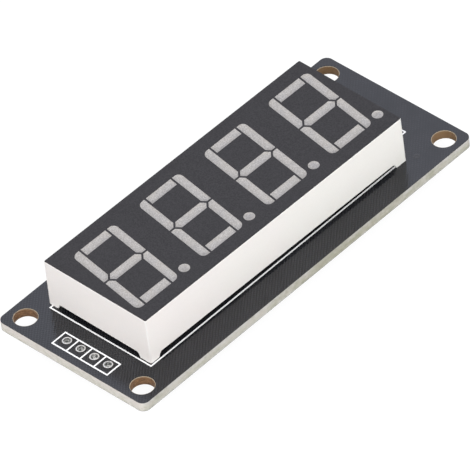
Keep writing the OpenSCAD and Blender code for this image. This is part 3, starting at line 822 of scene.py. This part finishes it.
def make_camera():
    azimuth, elevation, roll = (math.radians(a) for a in (CAMERA_AZIMUTH, CAMERA_ELEVATION, CAMERA_ROLL))
    back = Vector((math.sin(azimuth) * math.cos(elevation), -math.cos(azimuth) * math.cos(elevation),
                   math.sin(elevation)))
    level_right = (-back).cross(Vector((0, 0, 1))).normalized()
    level_up = level_right.cross(-back)
    right = level_right * math.cos(roll) + level_up * math.sin(roll)
    up = level_up * math.cos(roll) - level_right * math.sin(roll)
    camera = bpy.data.objects.new("camera", bpy.data.cameras.new("camera"))
    camera.data.sensor_width = SENSOR_MM
    camera.data.lens = FOCAL_PX * SENSOR_MM / FRAME_PX
    camera.data.clip_start, camera.data.clip_end = CAMERA_CLIP
    turn = Matrix((right, up, back)).transposed().to_4x4()
    camera.matrix_world = Matrix.Translation(CAMERA_TARGET + back * CAMERA_DISTANCE) @ turn
    bpy.context.scene.collection.objects.link(camera)
    bpy.context.scene.camera = camera


def add_shader(tree, kind, **values):
    made = tree.nodes.new("ShaderNode" + kind)
    for key, value in values.items():
        made.inputs[key].default_value = value
    return made


def seen_or_mirrored(tree):
    """1 for a ray that shows the surroundings: seen by the camera, mirrored or through glass."""
    path = tree.nodes.new("ShaderNodeLightPath")
    share = path.outputs["Is Camera Ray"]
    for kind in ("Is Glossy Ray", "Is Transmission Ray"):
        larger = tree.nodes.new("ShaderNodeMath")
        larger.operation = "MAXIMUM"
        tree.links.new(share, larger.inputs[0])
        tree.links.new(path.outputs[kind], larger.inputs[1])
        share = larger.outputs[0]
    return share


def choose_by_ray(tree, lighting, shown, output):
    """Uses one shader where the surroundings light the part, and the other where they are shown."""
    mixed = tree.nodes.new("ShaderNodeMixShader")
    tree.links.new(seen_or_mirrored(tree), mixed.inputs[0])
    tree.links.new(lighting.outputs[0], mixed.inputs[1])
    tree.links.new(shown.outputs[0], mixed.inputs[2])
    tree.links.new(mixed.outputs[0], tree.nodes[output].inputs["Surface"])


def make_world():
    world = bpy.data.worlds.new("plain_surroundings")
    world.use_nodes = True
    bpy.context.scene.world = world
    tree = world.node_tree
    ambient = tree.nodes["Background"]
    ambient.inputs["Color"].default_value = WHITE
    ambient.inputs["Strength"].default_value = AMBIENT
    white = add_shader(tree, "Background", Color=WHITE, Strength=1)
    choose_by_ray(tree, ambient, white, "World Output")


def floor_material():
    material = bpy.data.materials.new("floor_white")
    material.use_nodes = True
    tree = material.node_tree
    tree.nodes.remove(tree.nodes["Principled BSDF"])
    bounce = add_shader(tree, "BsdfDiffuse", Color=(FLOOR_BOUNCE, FLOOR_BOUNCE, FLOOR_BOUNCE, 1))
    paint = add_shader(tree, "BsdfDiffuse", Color=(FLOOR_PAINT, FLOOR_PAINT, FLOOR_PAINT, 1))
    glow = add_shader(tree, "Emission", Strength=FLOOR_GLOW)
    both = tree.nodes.new("ShaderNodeAddShader")
    tree.links.new(paint.outputs[0], both.inputs[0])
    tree.links.new(glow.outputs[0], both.inputs[1])
    choose_by_ray(tree, bounce, both, "Material Output")
    return material


def make_floor():
    """A white floor under the driver that stays white to the eye and keeps the object's shadow."""
    height = cad_box[0].z - FLOOR_GAP
    corners = [(x * FLOOR_REACH, y * FLOOR_REACH, height) for x, y in ((-1, -1), (1, -1), (1, 1), (-1, 1))]
    mesh = bpy.data.meshes.new("floor")
    mesh.from_pydata(corners, [], [(0, 1, 2, 3)])
    mesh.materials.append(floor_material())
    floor = bpy.data.objects.new("floor", mesh)
    bpy.context.scene.collection.objects.link(floor)


def softbox(name, direction, distance, size, strength, colour=(1, 1, 1)):
    """A square lamp that faces the part from a direction, with its brightness as seen."""
    lamp = bpy.data.lights.new(name, "AREA")
    lamp.shape = "SQUARE"
    lamp.size = size
    lamp.energy = strength * math.pi * size * size
    lamp.color = colour
    holder = bpy.data.objects.new(name, lamp)
    towards = Vector(direction).normalized()
    holder.location = towards * distance
    holder.rotation_euler = towards.to_track_quat("Z", "Y").to_euler()
    holder.visible_camera = False
    bpy.context.scene.collection.objects.link(holder)


def make_light():
    """Two large cool panels above and behind, and three small white ones round the front left."""
    softbox("top_panel", (-0.12, -0.12, 1.0), distance=1.0, size=1.0, strength=1.1, colour=(0.96, 0.98, 1.0))
    softbox("sky_panel", (0.49, 0.55, 0.68), distance=1.0, size=1.1, strength=0.75, colour=(0.56, 0.62, 0.88))
    softbox("key_panel", (-0.58, -0.66, 0.55), distance=0.7, size=0.5, strength=2.85)
    softbox("left_panel", (-1.0, 0.15, 0.5), distance=0.7, size=0.5, strength=1.54)
    softbox("front_panel", (0.15, -1.0, 0.5), distance=0.7, size=0.5, strength=1.72)


bpy.context.scene.view_settings.view_transform = "Standard"
make_camera()
make_world()
make_floor()
make_light()
dress_nodes()
add_lead_fillets()
add_part_fillets()
add_copper_lines()
add_top_via()
add_foot_toe()
